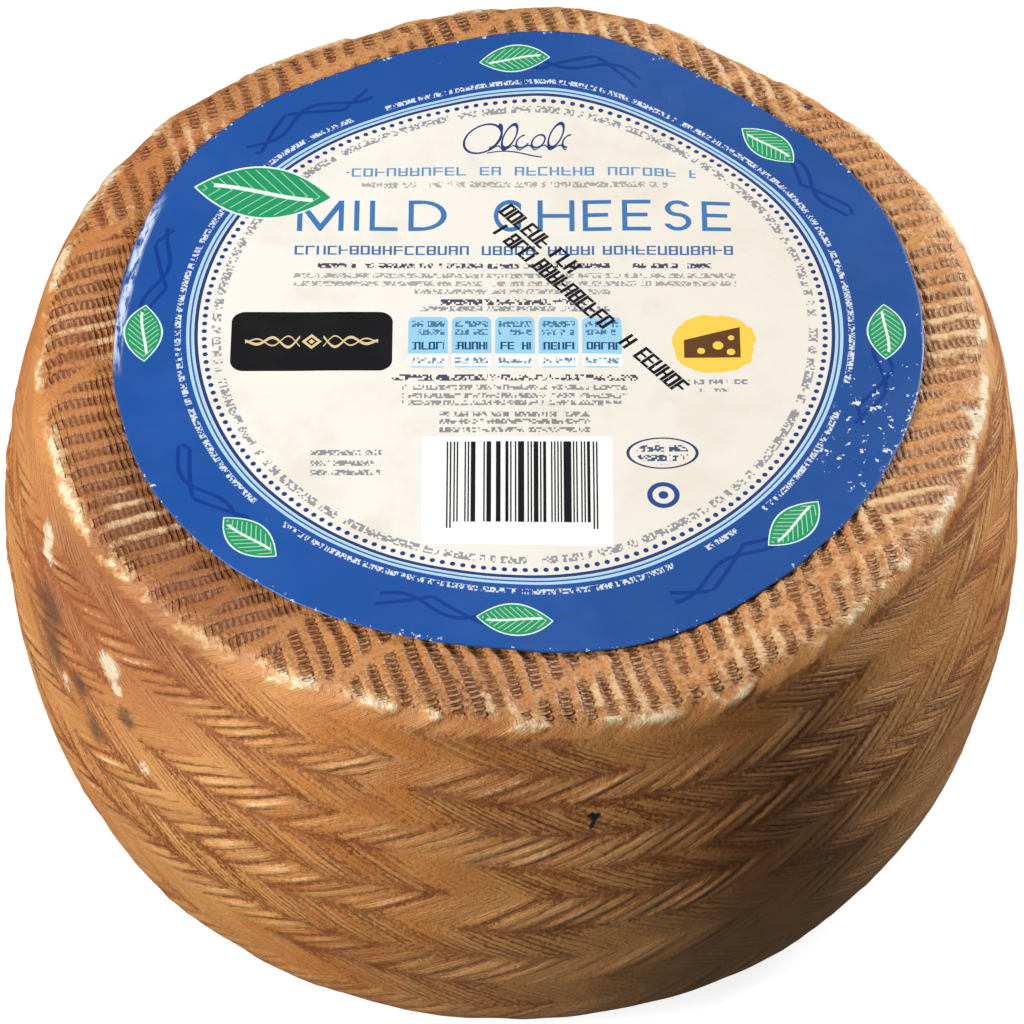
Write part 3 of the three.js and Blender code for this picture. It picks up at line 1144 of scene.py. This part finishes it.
def large_leaf(colour):
    from_x, from_y = minus(X, -48.4), minus(Y, 34.5)
    along_leaf = plus(times(from_x, math.cos(0.1)), times(from_y, -math.sin(0.1)))
    across_leaf = plus(times(from_x, math.sin(0.1)), times(from_y, math.cos(0.1)))
    return leaf(colour, along_leaf, across_leaf, 27.0, 14.0, 0.45)


print("leaves:", len(LEAF_ANGLES) + 1)

# %% [markdown]
# ## The title
#
# The title is two plain words in thin capitals, drawn with a pen of constant width. Upright and
# level strokes are boxes. Round strokes are ellipses one pen wide with a piece left out, and the
# middle of the M is one folded line. This takes far fewer nodes than measuring to each stroke.

# %% The strokes of the title
TITLE = "MILD CHEESE"
TITLE_LEFT, TITLE_RIGHT = -41.2, 41.4
TITLE_FOOT, TITLE_TOP = 24.4, 32.4
PEN = 1.0
LETTER_GAP = 0.42
LETTER_WIDTHS = {"M": 1.3, "I": 0.14, "L": 0.8, "D": 1.05, " ": 0.7,
                 "C": 1.05, "H": 1.0, "E": 0.82, "S": 0.85}


def upright(x):
    return box(x - PEN / 2, x + PEN / 2, TITLE_FOOT, TITLE_TOP)


def level_stroke(x_low, x_high, share):
    y = TITLE_FOOT + PEN / 2 + share * (TITLE_TOP - TITLE_FOOT - PEN)
    return box(x_low, x_high, y - PEN / 2, y + PEN / 2)


def round_stroke(x, y, half_width, half_rise):
    """An ellipse one pen wide, with the distances from its middle for cutting pieces out."""
    dx, dy = minus(X, x), minus(Y, y)
    sx, sy = times(dx, 1 / (half_width - PEN / 2)), times(dy, 1 / (half_rise - PEN / 2))
    away = distance(sx, sy)
    pen_share = PEN / (half_width + half_rise - PEN)
    return within(away, 1 - pen_share, 1 + pen_share), dx, dy


print("pen, mm:", PEN)


# %% The letters of the title
def letter(name, left, width):
    middle_x, middle_y = left + width / 2, (TITLE_FOOT + TITLE_TOP) / 2
    rise = TITLE_TOP - TITLE_FOOT
    right = left + width
    if name == "I":
        return upright(middle_x)
    if name == "L":
        return either(upright(left), level_stroke(left, right, 0))
    if name == "H":
        return either(upright(left), upright(right), level_stroke(left, right, 0.5))
    if name == "E":
        return either(upright(left), level_stroke(left, right, 0), level_stroke(left, right, 1),
                      level_stroke(left, right - 0.12 * width, 0.52))
    if name == "M":
        fold = plus(times(size_of(minus(X, middle_x)), 0.85 * rise / (width / 2)), TITLE_FOOT + 0.1 * rise)
        slanted = below(size_of(minus(Y, fold)), PEN * 1.15)
        slanted = times(slanted, within(X, left, right), within(Y, TITLE_FOOT, TITLE_TOP))
        return either(upright(left), upright(right), slanted)
    if name == "D":
        bowl, dx, _ = round_stroke(left + 0.3 * width, middle_y, 0.76 * width, rise / 2)
        return either(upright(left), times(bowl, above(dx, 0.0)), level_stroke(left, left + 0.3 * width, 0),
                      level_stroke(left, left + 0.3 * width, 1))
    if name == "C":
        bowl, dx, _ = round_stroke(middle_x, middle_y, width / 2, rise / 2)
        return times(bowl, below(dx, 0.33 * width))
    upper, upper_x, upper_y = round_stroke(middle_x, TITLE_TOP - 0.27 * rise, 0.46 * width, 0.27 * rise)
    lower, lower_x, lower_y = round_stroke(middle_x, TITLE_FOOT + 0.29 * rise, 0.5 * width, 0.29 * rise)
    upper = cut_out(upper, times(above(upper_x, 0.0), below(upper_y, 0.5)))
    return either(upper, cut_out(lower, times(below(lower_x, 0.0), above(lower_y, -0.5))))


def title(colour):
    shares = [LETTER_WIDTHS[name] for name in TITLE]
    unit = (TITLE_RIGHT - TITLE_LEFT) / (sum(shares) + LETTER_GAP * (len(TITLE) - 1))
    left = TITLE_LEFT
    for name, share in zip(TITLE, shares):
        if name != " ":
            colour = inked(colour, letter(name, left, share * unit), ink(62, 118, 178))
        left += (share + LETTER_GAP) * unit
    return colour


print("title:", TITLE)

# %% [markdown]
# ## Lines of small print
#
# The rest of the writing is too small to read, so it is drawn as specks and letter-like marks in
# rows. A colour ramp holds all the centred rows at once: at each height it says how wide the
# row is and how strong its ink, and between the rows it is black.

# %% Rows of small print
SMALL_ROWS = [           # middle, height, half length, strength
    (36.4, 1.5, 29.5, 0.55), (15.4, 1.4, 37.5, 1.0), (12.9, 1.2, 42, 0.6), (10.8, 1.2, 42, 0.6),
    (8.8, 1.2, 19, 0.6), (6.2, 1.4, 14, 1.0), (4.4, 1.2, 18, 0.7), (-12.6, 1.5, 23, 1.0),
    (-15.1, 1.3, 21, 0.7), (-17.0, 1.3, 21, 0.7), (-18.9, 1.3, 21, 0.7), (-21.6, 1.3, 14, 0.75),
    (-23.5, 1.3, 14, 0.75), (-25.4, 1.3, 14, 0.75),
]
ROWS_LOW, ROWS_HIGH = -27.0, 38.0
WIDEST_ROW = 50          # the ramp holds half lengths as shares of this


def rows_of_print(rows_here):
    """Where centred rows of small print lie, from one colour ramp over the height."""
    ramp = tree.nodes.new("ShaderNodeValToRGB")
    ramp.color_ramp.interpolation = "CONSTANT"
    stops = ramp.color_ramp.elements
    stops[0].color = (0, 0, 0, 1)
    stops.remove(stops[1])
    for middle_y, rise, half, strength in sorted(rows_here):
        start = stops.new((middle_y - rise / 2 - ROWS_LOW) / (ROWS_HIGH - ROWS_LOW))
        start.color = (half / WIDEST_ROW, strength, 0, 1)
        end = stops.new((middle_y + rise / 2 - ROWS_LOW) / (ROWS_HIGH - ROWS_LOW))
        end.color = (0, 0, 0, 1)
    feed(ramp.inputs[0], remap(Y, ROWS_LOW, ROWS_HIGH, smooth=False))
    half_share, strength, _ = parts_of(ramp.outputs[0])
    inside = below(size_of(X), times(half_share, WIDEST_ROW))
    return times(inside, strength)


def small_rows(colour, low, high):
    """The centred rows of small print whose middles lie between two heights."""
    here = [row for row in SMALL_ROWS if low < row[0] < high]
    return inked(colour, times(rows_of_print(here), words), ink(70, 76, 92))


def upper_capitals(colour):
    marks = times(capitals(X, minus(Y, 38.9), 2.3, 2.25, 3.0, 0.2), within(X, -32.6, 35.0))
    colour = inked(colour, marks, ink(96, 146, 194))
    marks = times(capitals(X, minus(Y, 18.3), 2.3, 2.1, 7.0, 0.22), within(X, -42, 42))
    return inked(colour, marks, ink(66, 112, 168))


def side_notes(colour):
    notes = either(box(-37.7, -24.6, -31.6, -30.3), box(-37.7, -26.0, -34.1, -32.8),
                   box(-37.7, -24.8, -36.3, -35.0), box(31.5, 43.5, -14.2, -13.0),
                   box(34.5, 40.0, -16.0, -15.2))
    return inked(colour, times(notes, words), GREY_INK, 0.8)


print("rows of small print:", len(SMALL_ROWS))

# %% [markdown]
# ## Ornaments, panels and the bar code
#
# A pen flourish stands above the title. Below it are a black panel with a gold ornament, a row
# of pale blue cells like a table of nutrients, and a yellow patch with a brown wedge of cheese.
# At the foot are a bar code of random bars, an oval and a small ring.

# %% The flourish, the ornament and the black panel
def flourish(colour, x_middle, y_middle, half, rise, pitch, pen, shade):
    """A pen flourish: joined loops that lean like handwriting, led by one large loop."""
    level = plus(minus(Y, y_middle), rise * 0.3)
    u = minus(minus(X, x_middle), times(level, 0.3))
    luck = luck_of(cell_of(u, pitch), y_middle, 7.0)
    half_rise = plus(times(above(luck, 0.7), rise * 0.22), rise * 0.25)
    loop_x = times(minus(maths("FRACT", times(u, 1 / pitch)), 0.5), 1 / 0.4)
    loop_y = maths("DIVIDE", minus(level, half_rise), half_rise)
    loop = distance(loop_x, loop_y)
    opened = times(above(loop_x, -0.1), above(loop_y, -0.25), below(luck, 0.45))
    letters = times(below(size_of(minus(loop, 1.0)), pen / pitch), minus(1.0, opened))
    join = plus(level, times(maths("COSINE", times(u, 2 * math.pi / pitch)), -0.09 * rise))
    letters = times(either(letters, below(size_of(join), pen * 0.42)), below(size_of(u), half))
    first_x = times(plus(u, half + 0.3 * rise), 1.9 / rise)
    first_y = times(minus(level, 0.4 * rise), 1.7 / rise)
    first = distance(first_x, first_y)
    first = below(size_of(minus(first, 1.0)), pen / rise)
    tail = minus(level, plus(times(maths("SINE", times(u, 2.6 / half)), rise * -0.13), rise * -0.26))
    tail = times(below(size_of(tail), pen * 0.4), within(u, -half, half * 0.45))
    return inked(colour, either(letters, first, tail), shade)


def ornament(colour, x_middle, y_middle, half, shade):
    """A mirrored ornament: a diamond between two fading waves, with a dot in each trough."""
    out, up = size_of(minus(X, x_middle)), minus(Y, y_middle)
    share = times(out, 1 / half)
    wave = times(maths("SINE", times(out, 1.05)), minus(1.9, times(share, 1.5)))
    waves = times(below(size_of(minus(up, wave)), 0.34), within(out, 2.2, half))
    other = times(below(size_of(plus(up, wave)), 0.18), within(out, 2.2, half))
    diamond = times(below(plus(out, size_of(up)), 1.9), above(plus(out, size_of(up)), 1.1))
    return inked(colour, either(waves, other, diamond, below(plus(out, size_of(up)), 0.6)), shade)


def past(value, limit):
    """How far a value lies outside a limit on either side of 0."""
    return maths("MAXIMUM", minus(size_of(value), limit), 0.0)


def rounded(x_low, x_high, y_low, y_high, corner):
    """A box with rounded corners."""
    dx = past(minus(X, (x_low + x_high) / 2), (x_high - x_low) / 2 - corner)
    dy = past(minus(Y, (y_low + y_high) / 2), (y_high - y_low) / 2 - corner)
    return below(plus(times(dx, dx), times(dy, dy)), corner ** 2)


def black_panel(colour):
    colour = inked(colour, rounded(-53.4, -23.0, -10.9, 3.8, 2.6), ink(22, 22, 24))
    return ornament(colour, -38.2, -3.6, 12.5, ink(220, 198, 150))


print("flourish, ornament and panel ready")

# %% The table cells and the yellow patch
CELL_PITCH = 8.18
CELLS_LEFT, CELLS_RIGHT = -20.4, 20.5


def table_cells(colour):
    cell_x = minus(maths("MODULO", minus(X, CELLS_LEFT), CELL_PITCH), CELL_PITCH / 2)
    dx = past(cell_x, CELL_PITCH / 2 - 1.6)
    dy = past(minus(Y, -3.75), 6.25 - 1.2)
    cells = below(plus(times(dx, dx), times(dy, dy)), 1.25 ** 2)
    cells = times(cells, within(X, CELLS_LEFT, CELLS_RIGHT))
    colour = inked(colour, cells, ink(150, 204, 232))
    colour = inked(colour, times(cells, within(Y, -9.7, -6.6)), ink(236, 243, 247))
    cell_rows = either(within(Y, 0.0, 1.5), within(Y, -2.0, -0.6), within(Y, -9.0, -7.6))
    bold_row = capitals(X, minus(Y, -5.6), 1.9, 1.35, 11.0, 0.3)
    bold_row = times(bold_row, cells, below(size_of(cell_x), 3.0))
    cell_words = times(cell_rows, words, cells, below(size_of(cell_x), 3.1), 0.8)
    return inked(colour, either(cell_words, bold_row), ink(36, 74, 118))


def yellow_patch(colour):
    dx, dy = times(minus(X, 37.4), 1 / 8.2), times(minus(Y, -4.2), 1 / 7.6)
    away = distance(dx, dy)
    away = plus(away, times(minus(grain(place, 5.0, 2), 0.5), 0.35))
    colour = inked(colour, below(away, 0.97), ink(246, 202, 78))
    across, up = minus(X, 37.4), minus(Y, -4.2)
    slope = minus(up, times(plus(across, 5.6), 0.3))
    wedge = times(below(slope, 1.0), within(across, -5.6, 5.0), within(up, -3.4, 4.4))
    holes = []
    for x, y, size in ((-2.4, -1.7, 0.75), (0.8, -0.4, 1.0), (3.2, -2.0, 0.8), (3.3, 1.5, 0.6)):
        from_x, from_y = minus(across, x), minus(up, y)
        holes.append(below(plus(times(from_x, from_x), times(from_y, from_y)), size ** 2))
    return inked(colour, cut_out(wedge, either(*holes)), ink(96, 62, 34))


print("table cells:", round((CELLS_RIGHT - CELLS_LEFT) / CELL_PITCH))

# %% Bar code, oval and ring
BAR_WIDTH = 0.29
BARS_LEFT, BARS_RIGHT = -11.3, 14.2


def bar_code(colour):
    colour = inked(colour, box(-17.1, 18.0, -52.6, -26.9), ink(243, 243, 240))
    bars = above(luck_of(cell_of(X, BAR_WIDTH), 4.0, 6.0), 0.44)
    bars = times(bars, box(BARS_LEFT, BARS_RIGHT, -47.3, -28.2))
    guards = either(within(X, -12.6, -12.3), within(X, -12.0, -11.7),
                    within(X, 14.4, 14.7), within(X, 15.0, 15.3))
    return inked(colour, either(bars, times(guards, within(Y, -48.8, -28.2))), ink(24, 24, 28))


def oval_and_ring(colour):
    oval_x, oval_y = times(minus(X, 27.3), 1 / 6.5), times(minus(Y, -30.9), 1 / 3.7)
    oval = distance(oval_x, oval_y)
    colour = inked(colour, within(oval, 0.94, 1.03), ink(50, 66, 100))
    oval_rows = above(maths("PINGPONG", plus(Y, 30.9), 1.15), 0.35)
    colour = inked(colour, times(below(oval, 0.75), words, oval_rows), ink(70, 84, 112))
    away_x, away_y = minus(X, 27.3), minus(Y, -40.9)
    badge = distance(away_x, away_y)
    return inked(colour, either(within(badge, 2.0, 3.0), below(badge, 0.9)), ink(40, 74, 140))


print("bars and gaps in the bar code:", round((BARS_RIGHT - BARS_LEFT) / BAR_WIDTH))

# %% [markdown]
# ## Stamped marks, scuffs and a painted highlight
#
# A date stamp was jetted across the label in black, in two slanting rows. At the right the blue
# ink has been rubbed through to the white paper in ragged specks, and the rim of the print is
# chipped in a few places. At the left, where the paper curls up, a pale highlight is painted
# along its edge.

# %% The stamp, the scuffs and the painted highlight on the curl
STAMP_START = (-3.7, 29.0)
STAMP_END = (33.0, -14.2)
STAMP_LENGTH = math.hypot(STAMP_END[0] - STAMP_START[0], STAMP_END[1] - STAMP_START[1])
STAMP_TURN = math.atan2(STAMP_END[1] - STAMP_START[1], STAMP_END[0] - STAMP_START[0])


def stamp(colour):
    from_x, from_y = minus(X, STAMP_START[0]), minus(Y, STAMP_START[1])
    along = plus(times(from_x, math.cos(STAMP_TURN)), times(from_y, math.sin(STAMP_TURN)))
    across = plus(times(from_x, -math.sin(STAMP_TURN)), times(from_y, math.cos(STAMP_TURN)))
    upper_row = capitals(along, minus(across, 0.6), 3.4, 2.1, 21.0, 0.33)
    upper_row = times(upper_row, within(along, 0, 21))
    lower_row = capitals(along, minus(across, -3.7), 3.5, 2.1, 22.0, 0.33)
    lower_row = times(lower_row, within(along, 3.0, STAMP_LENGTH))
    jet = remap(grain(place, 0.8, 2), 0.26, 0.34)
    return inked(colour, times(either(upper_row, lower_row), jet), ink(20, 22, 30))


def painted_curl_highlight(colour):
    """A painted highlight: a pale, broken band along the edge where the paper curls up at the left."""
    turned_from = size_of(maths("WRAP", minus(ANGLE, math.radians(CURL_ANGLE - 1)), math.pi, -math.pi))
    edge_radius = plus(RING, times(remap(turned_from, 0.46, 0.0), 1.9))
    # painted highlight on the edge of the curl
    painted_highlight = times(remap(edge_radius, 74.6, 75.5), remap(edge_radius, 77.0, 76.2), below(turned_from, 0.33))
    broken = remap(grain(combine(times(ANGLE, 16.0), RING), 1.0, 4, 0.7), 0.38, 0.55)
    return inked(colour, times(painted_highlight, broken, remap(turned_from, 0.33, 0.2)), ink(206, 220, 242))


def scuffs(colour):
    scuff_grain = grain(place, 1.7, 5, 0.68)
    right_edge = times(remap(size_of(plus(ANGLE, 0.36)), 0.34, 0.12), remap(RING, 58, 66))
    top_edge = times(remap(size_of(minus(ANGLE, 1.86)), 0.16, 0.04), remap(RING, 63, 71), 0.5)
    upper_right = times(remap(size_of(minus(ANGLE, 0.62)), 0.14, 0.03), remap(RING, 57, 64), 0.3)
    worn_through = above(plus(scuff_grain, times(either(right_edge, top_edge, upper_right), 0.15)), 0.76)
    chips = above(plus(grain(place, 1.3, 4, 0.7), remap(RING, 74.6, 76.6, 0, 0.16)), 0.79)
    return inked(colour, either(worn_through, chips), ink(226, 230, 238))


print("stamp length, mm:", round(STAMP_LENGTH, 1))

# %% [markdown]
# ## The paper itself
#
# The printed side has a satin coating. It picks up light over the small waves of the paper, and
# at the curled edge, where a pale highlight is painted as well. The back and the cut edge are
# plain uncoated paper.

# %% The satin surface of the printed side
def finish_print(colour):
    surface = tree.nodes.new("ShaderNodeBsdfPrincipled")
    feed(surface.inputs["Base Color"], colour)
    feed(surface.inputs["Roughness"], remap(grain(place, 7, 2), 0.3, 0.7, 0.36, 0.5))
    surface.inputs["Specular IOR Level"].default_value = 0.3
    dents = bumped(grain(place, 6.0, 3, 0.55), 0.5, 0.6)
    feed(surface.inputs["Normal"], bumped(grain(place, 0.5, 3, 0.6), 0.05, 0.5, dents))
    show(surface)
    print(printed.name, "has", len(tree.nodes), "nodes")
    return printed


# %% Print the four zones
start_print("printed border")
border_print = finish_print(painted_curl_highlight(scuffs(large_leaf(ring_of_leaves(blue_border())))))

start_print("printed field, upper")
colour = upper_capitals(small_rows(title(cream_field()), UPPER_ZONE, 50))
colour = flourish(colour, 2.6, 48.2, 7.6, 6.6, 3.0, 0.42, ink(36, 62, 118))
upper_print = finish_print(stamp(large_leaf(colour)))

start_print("printed field, middle")
colour = yellow_patch(table_cells(black_panel(small_rows(cream_field(), LOWER_ZONE, UPPER_ZONE))))
middle_print = finish_print(stamp(colour))

start_print("printed field, lower")
colour = side_notes(small_rows(cream_field(), -50, LOWER_ZONE))
lower_print = finish_print(stamp(oval_and_ring(bar_code(colour))))

# %% The bare paper, and each face its finish
bare = new_finish("bare paper")
place = place_in_mm()
surface = tree.nodes.new("ShaderNodeBsdfPrincipled")
colour = blend_colours(grain(place, 0.8, 4), ink(214, 220, 230), ink(240, 240, 238))
feed(surface.inputs["Base Color"], colour)
surface.inputs["Roughness"].default_value = 0.8
feed(surface.inputs["Normal"], bumped(grain(place, 0.3, 3), 0.05, 0.6))
show(surface)

for finish in (border_print, bare, upper_print, middle_print, lower_print):
    label.data.materials.append(finish)
for polygon in label.data.polygons:
    if polygon.material_index == 0:
        from_x = polygon.center.x / MM - LABEL_MIDDLE[0]
        from_y = polygon.center.y / MM - LABEL_MIDDLE[1]
        if math.hypot(from_x, from_y) < BORDER_START:
            polygon.material_index = 2 if from_y > UPPER_ZONE else 3 if from_y > LOWER_ZONE else 4
print("faces of each finish:", np.bincount([polygon.material_index for polygon in label.data.polygons]))

# %% [markdown]
# ## Floor, light and camera
#
# The wheel stands on a plain pale floor, which glows a little so that shadows on it stay faint.
# One soft light stands low at the front left and one behind the right, so the side falls into
# shade between them, and both rake across the ribs. The camera looks steeply down from the
# front with a long lens.

# %% The floor
deselect_all()
bpy.ops.mesh.primitive_plane_add(size=40, location=(0, 0, 0))
floor = bpy.context.active_object
floor.name = "floor"
bpy.ops.object.mode_set(mode="EDIT")
bpy.ops.mesh.select_all(action="SELECT")
bpy.ops.mesh.subdivide(number_cuts=4)
bpy.ops.object.mode_set(mode="OBJECT")
pale = new_finish("pale floor")
surface = tree.nodes.new("ShaderNodeBsdfPrincipled")
surface.inputs["Base Color"].default_value = (0.24, 0.24, 0.24, 1)
surface.inputs["Roughness"].default_value = 0.9
surface.inputs["Specular IOR Level"].default_value = 0.1
surface.inputs["Emission Color"].default_value = (1, 1, 1, 1)
surface.inputs["Emission Strength"].default_value = 0.86
show(surface)
floor.data.materials.append(pale)
floor.visible_diffuse = False
floor.visible_glossy = False
print("floor, m:", [round(size, 1) for size in floor.dimensions])

# %% The lights
AIM = Vector((0, 0, 0.05))
LIGHT_DISTANCE = 1.6


def soft_light(name, degrees, lift_degrees, size, power):
    lamp = bpy.data.lights.new(name, "AREA")
    lamp.shape = "DISK"
    lamp.size = size
    lamp.energy = power
    stand = bpy.data.objects.new(name, lamp)
    level_reach = math.cos(math.radians(lift_degrees)) * LIGHT_DISTANCE
    stand.location = AIM + Vector((level_reach * math.cos(math.radians(degrees)),
                                   level_reach * math.sin(math.radians(degrees)),
                                   math.sin(math.radians(lift_degrees)) * LIGHT_DISTANCE))
    stand.rotation_euler = (AIM - stand.location).to_track_quat("-Z", "Y").to_euler()
    bpy.context.scene.collection.objects.link(stand)


soft_light("key", 208, 30, 0.5, 34)
soft_light("right", 33, 21, 0.4, 33)
sky = bpy.data.worlds.new("studio")
sky.use_nodes = True
sky.node_tree.nodes["Background"].inputs[0].default_value = (1, 1, 1, 1)
sky.node_tree.nodes["Background"].inputs[1].default_value = 0.11
bpy.context.scene.world = sky
bpy.context.scene.view_settings.view_transform = "Standard"

# %% The camera
CAMERA_LIFT = 50.67      # how steeply it looks down, degrees
CAMERA_DISTANCE = 1.0425 # metres
lens = bpy.data.cameras.new("camera")
lens.lens = 187.5
lens.sensor_width = 36
lens.shift_x = -0.0006
lens.shift_y = -0.006
camera = bpy.data.objects.new("camera", lens)
middle = Vector((0, 0, FACE_LEVEL * MM / 2))
lift = math.radians(CAMERA_LIFT)
camera.location = middle + CAMERA_DISTANCE * Vector((0, -math.cos(lift), math.sin(lift)))
camera.rotation_euler = (middle - camera.location).to_track_quat("-Z", "Y").to_euler()
bpy.context.scene.collection.objects.link(camera)
bpy.context.scene.camera = camera
print("camera at", [round(v, 3) for v in camera.location])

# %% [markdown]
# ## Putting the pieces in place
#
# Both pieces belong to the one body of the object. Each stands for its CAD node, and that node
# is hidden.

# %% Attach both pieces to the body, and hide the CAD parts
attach(wheel, "root")
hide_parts("cheese_wheel")
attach(label, "root")
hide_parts("paper_label")
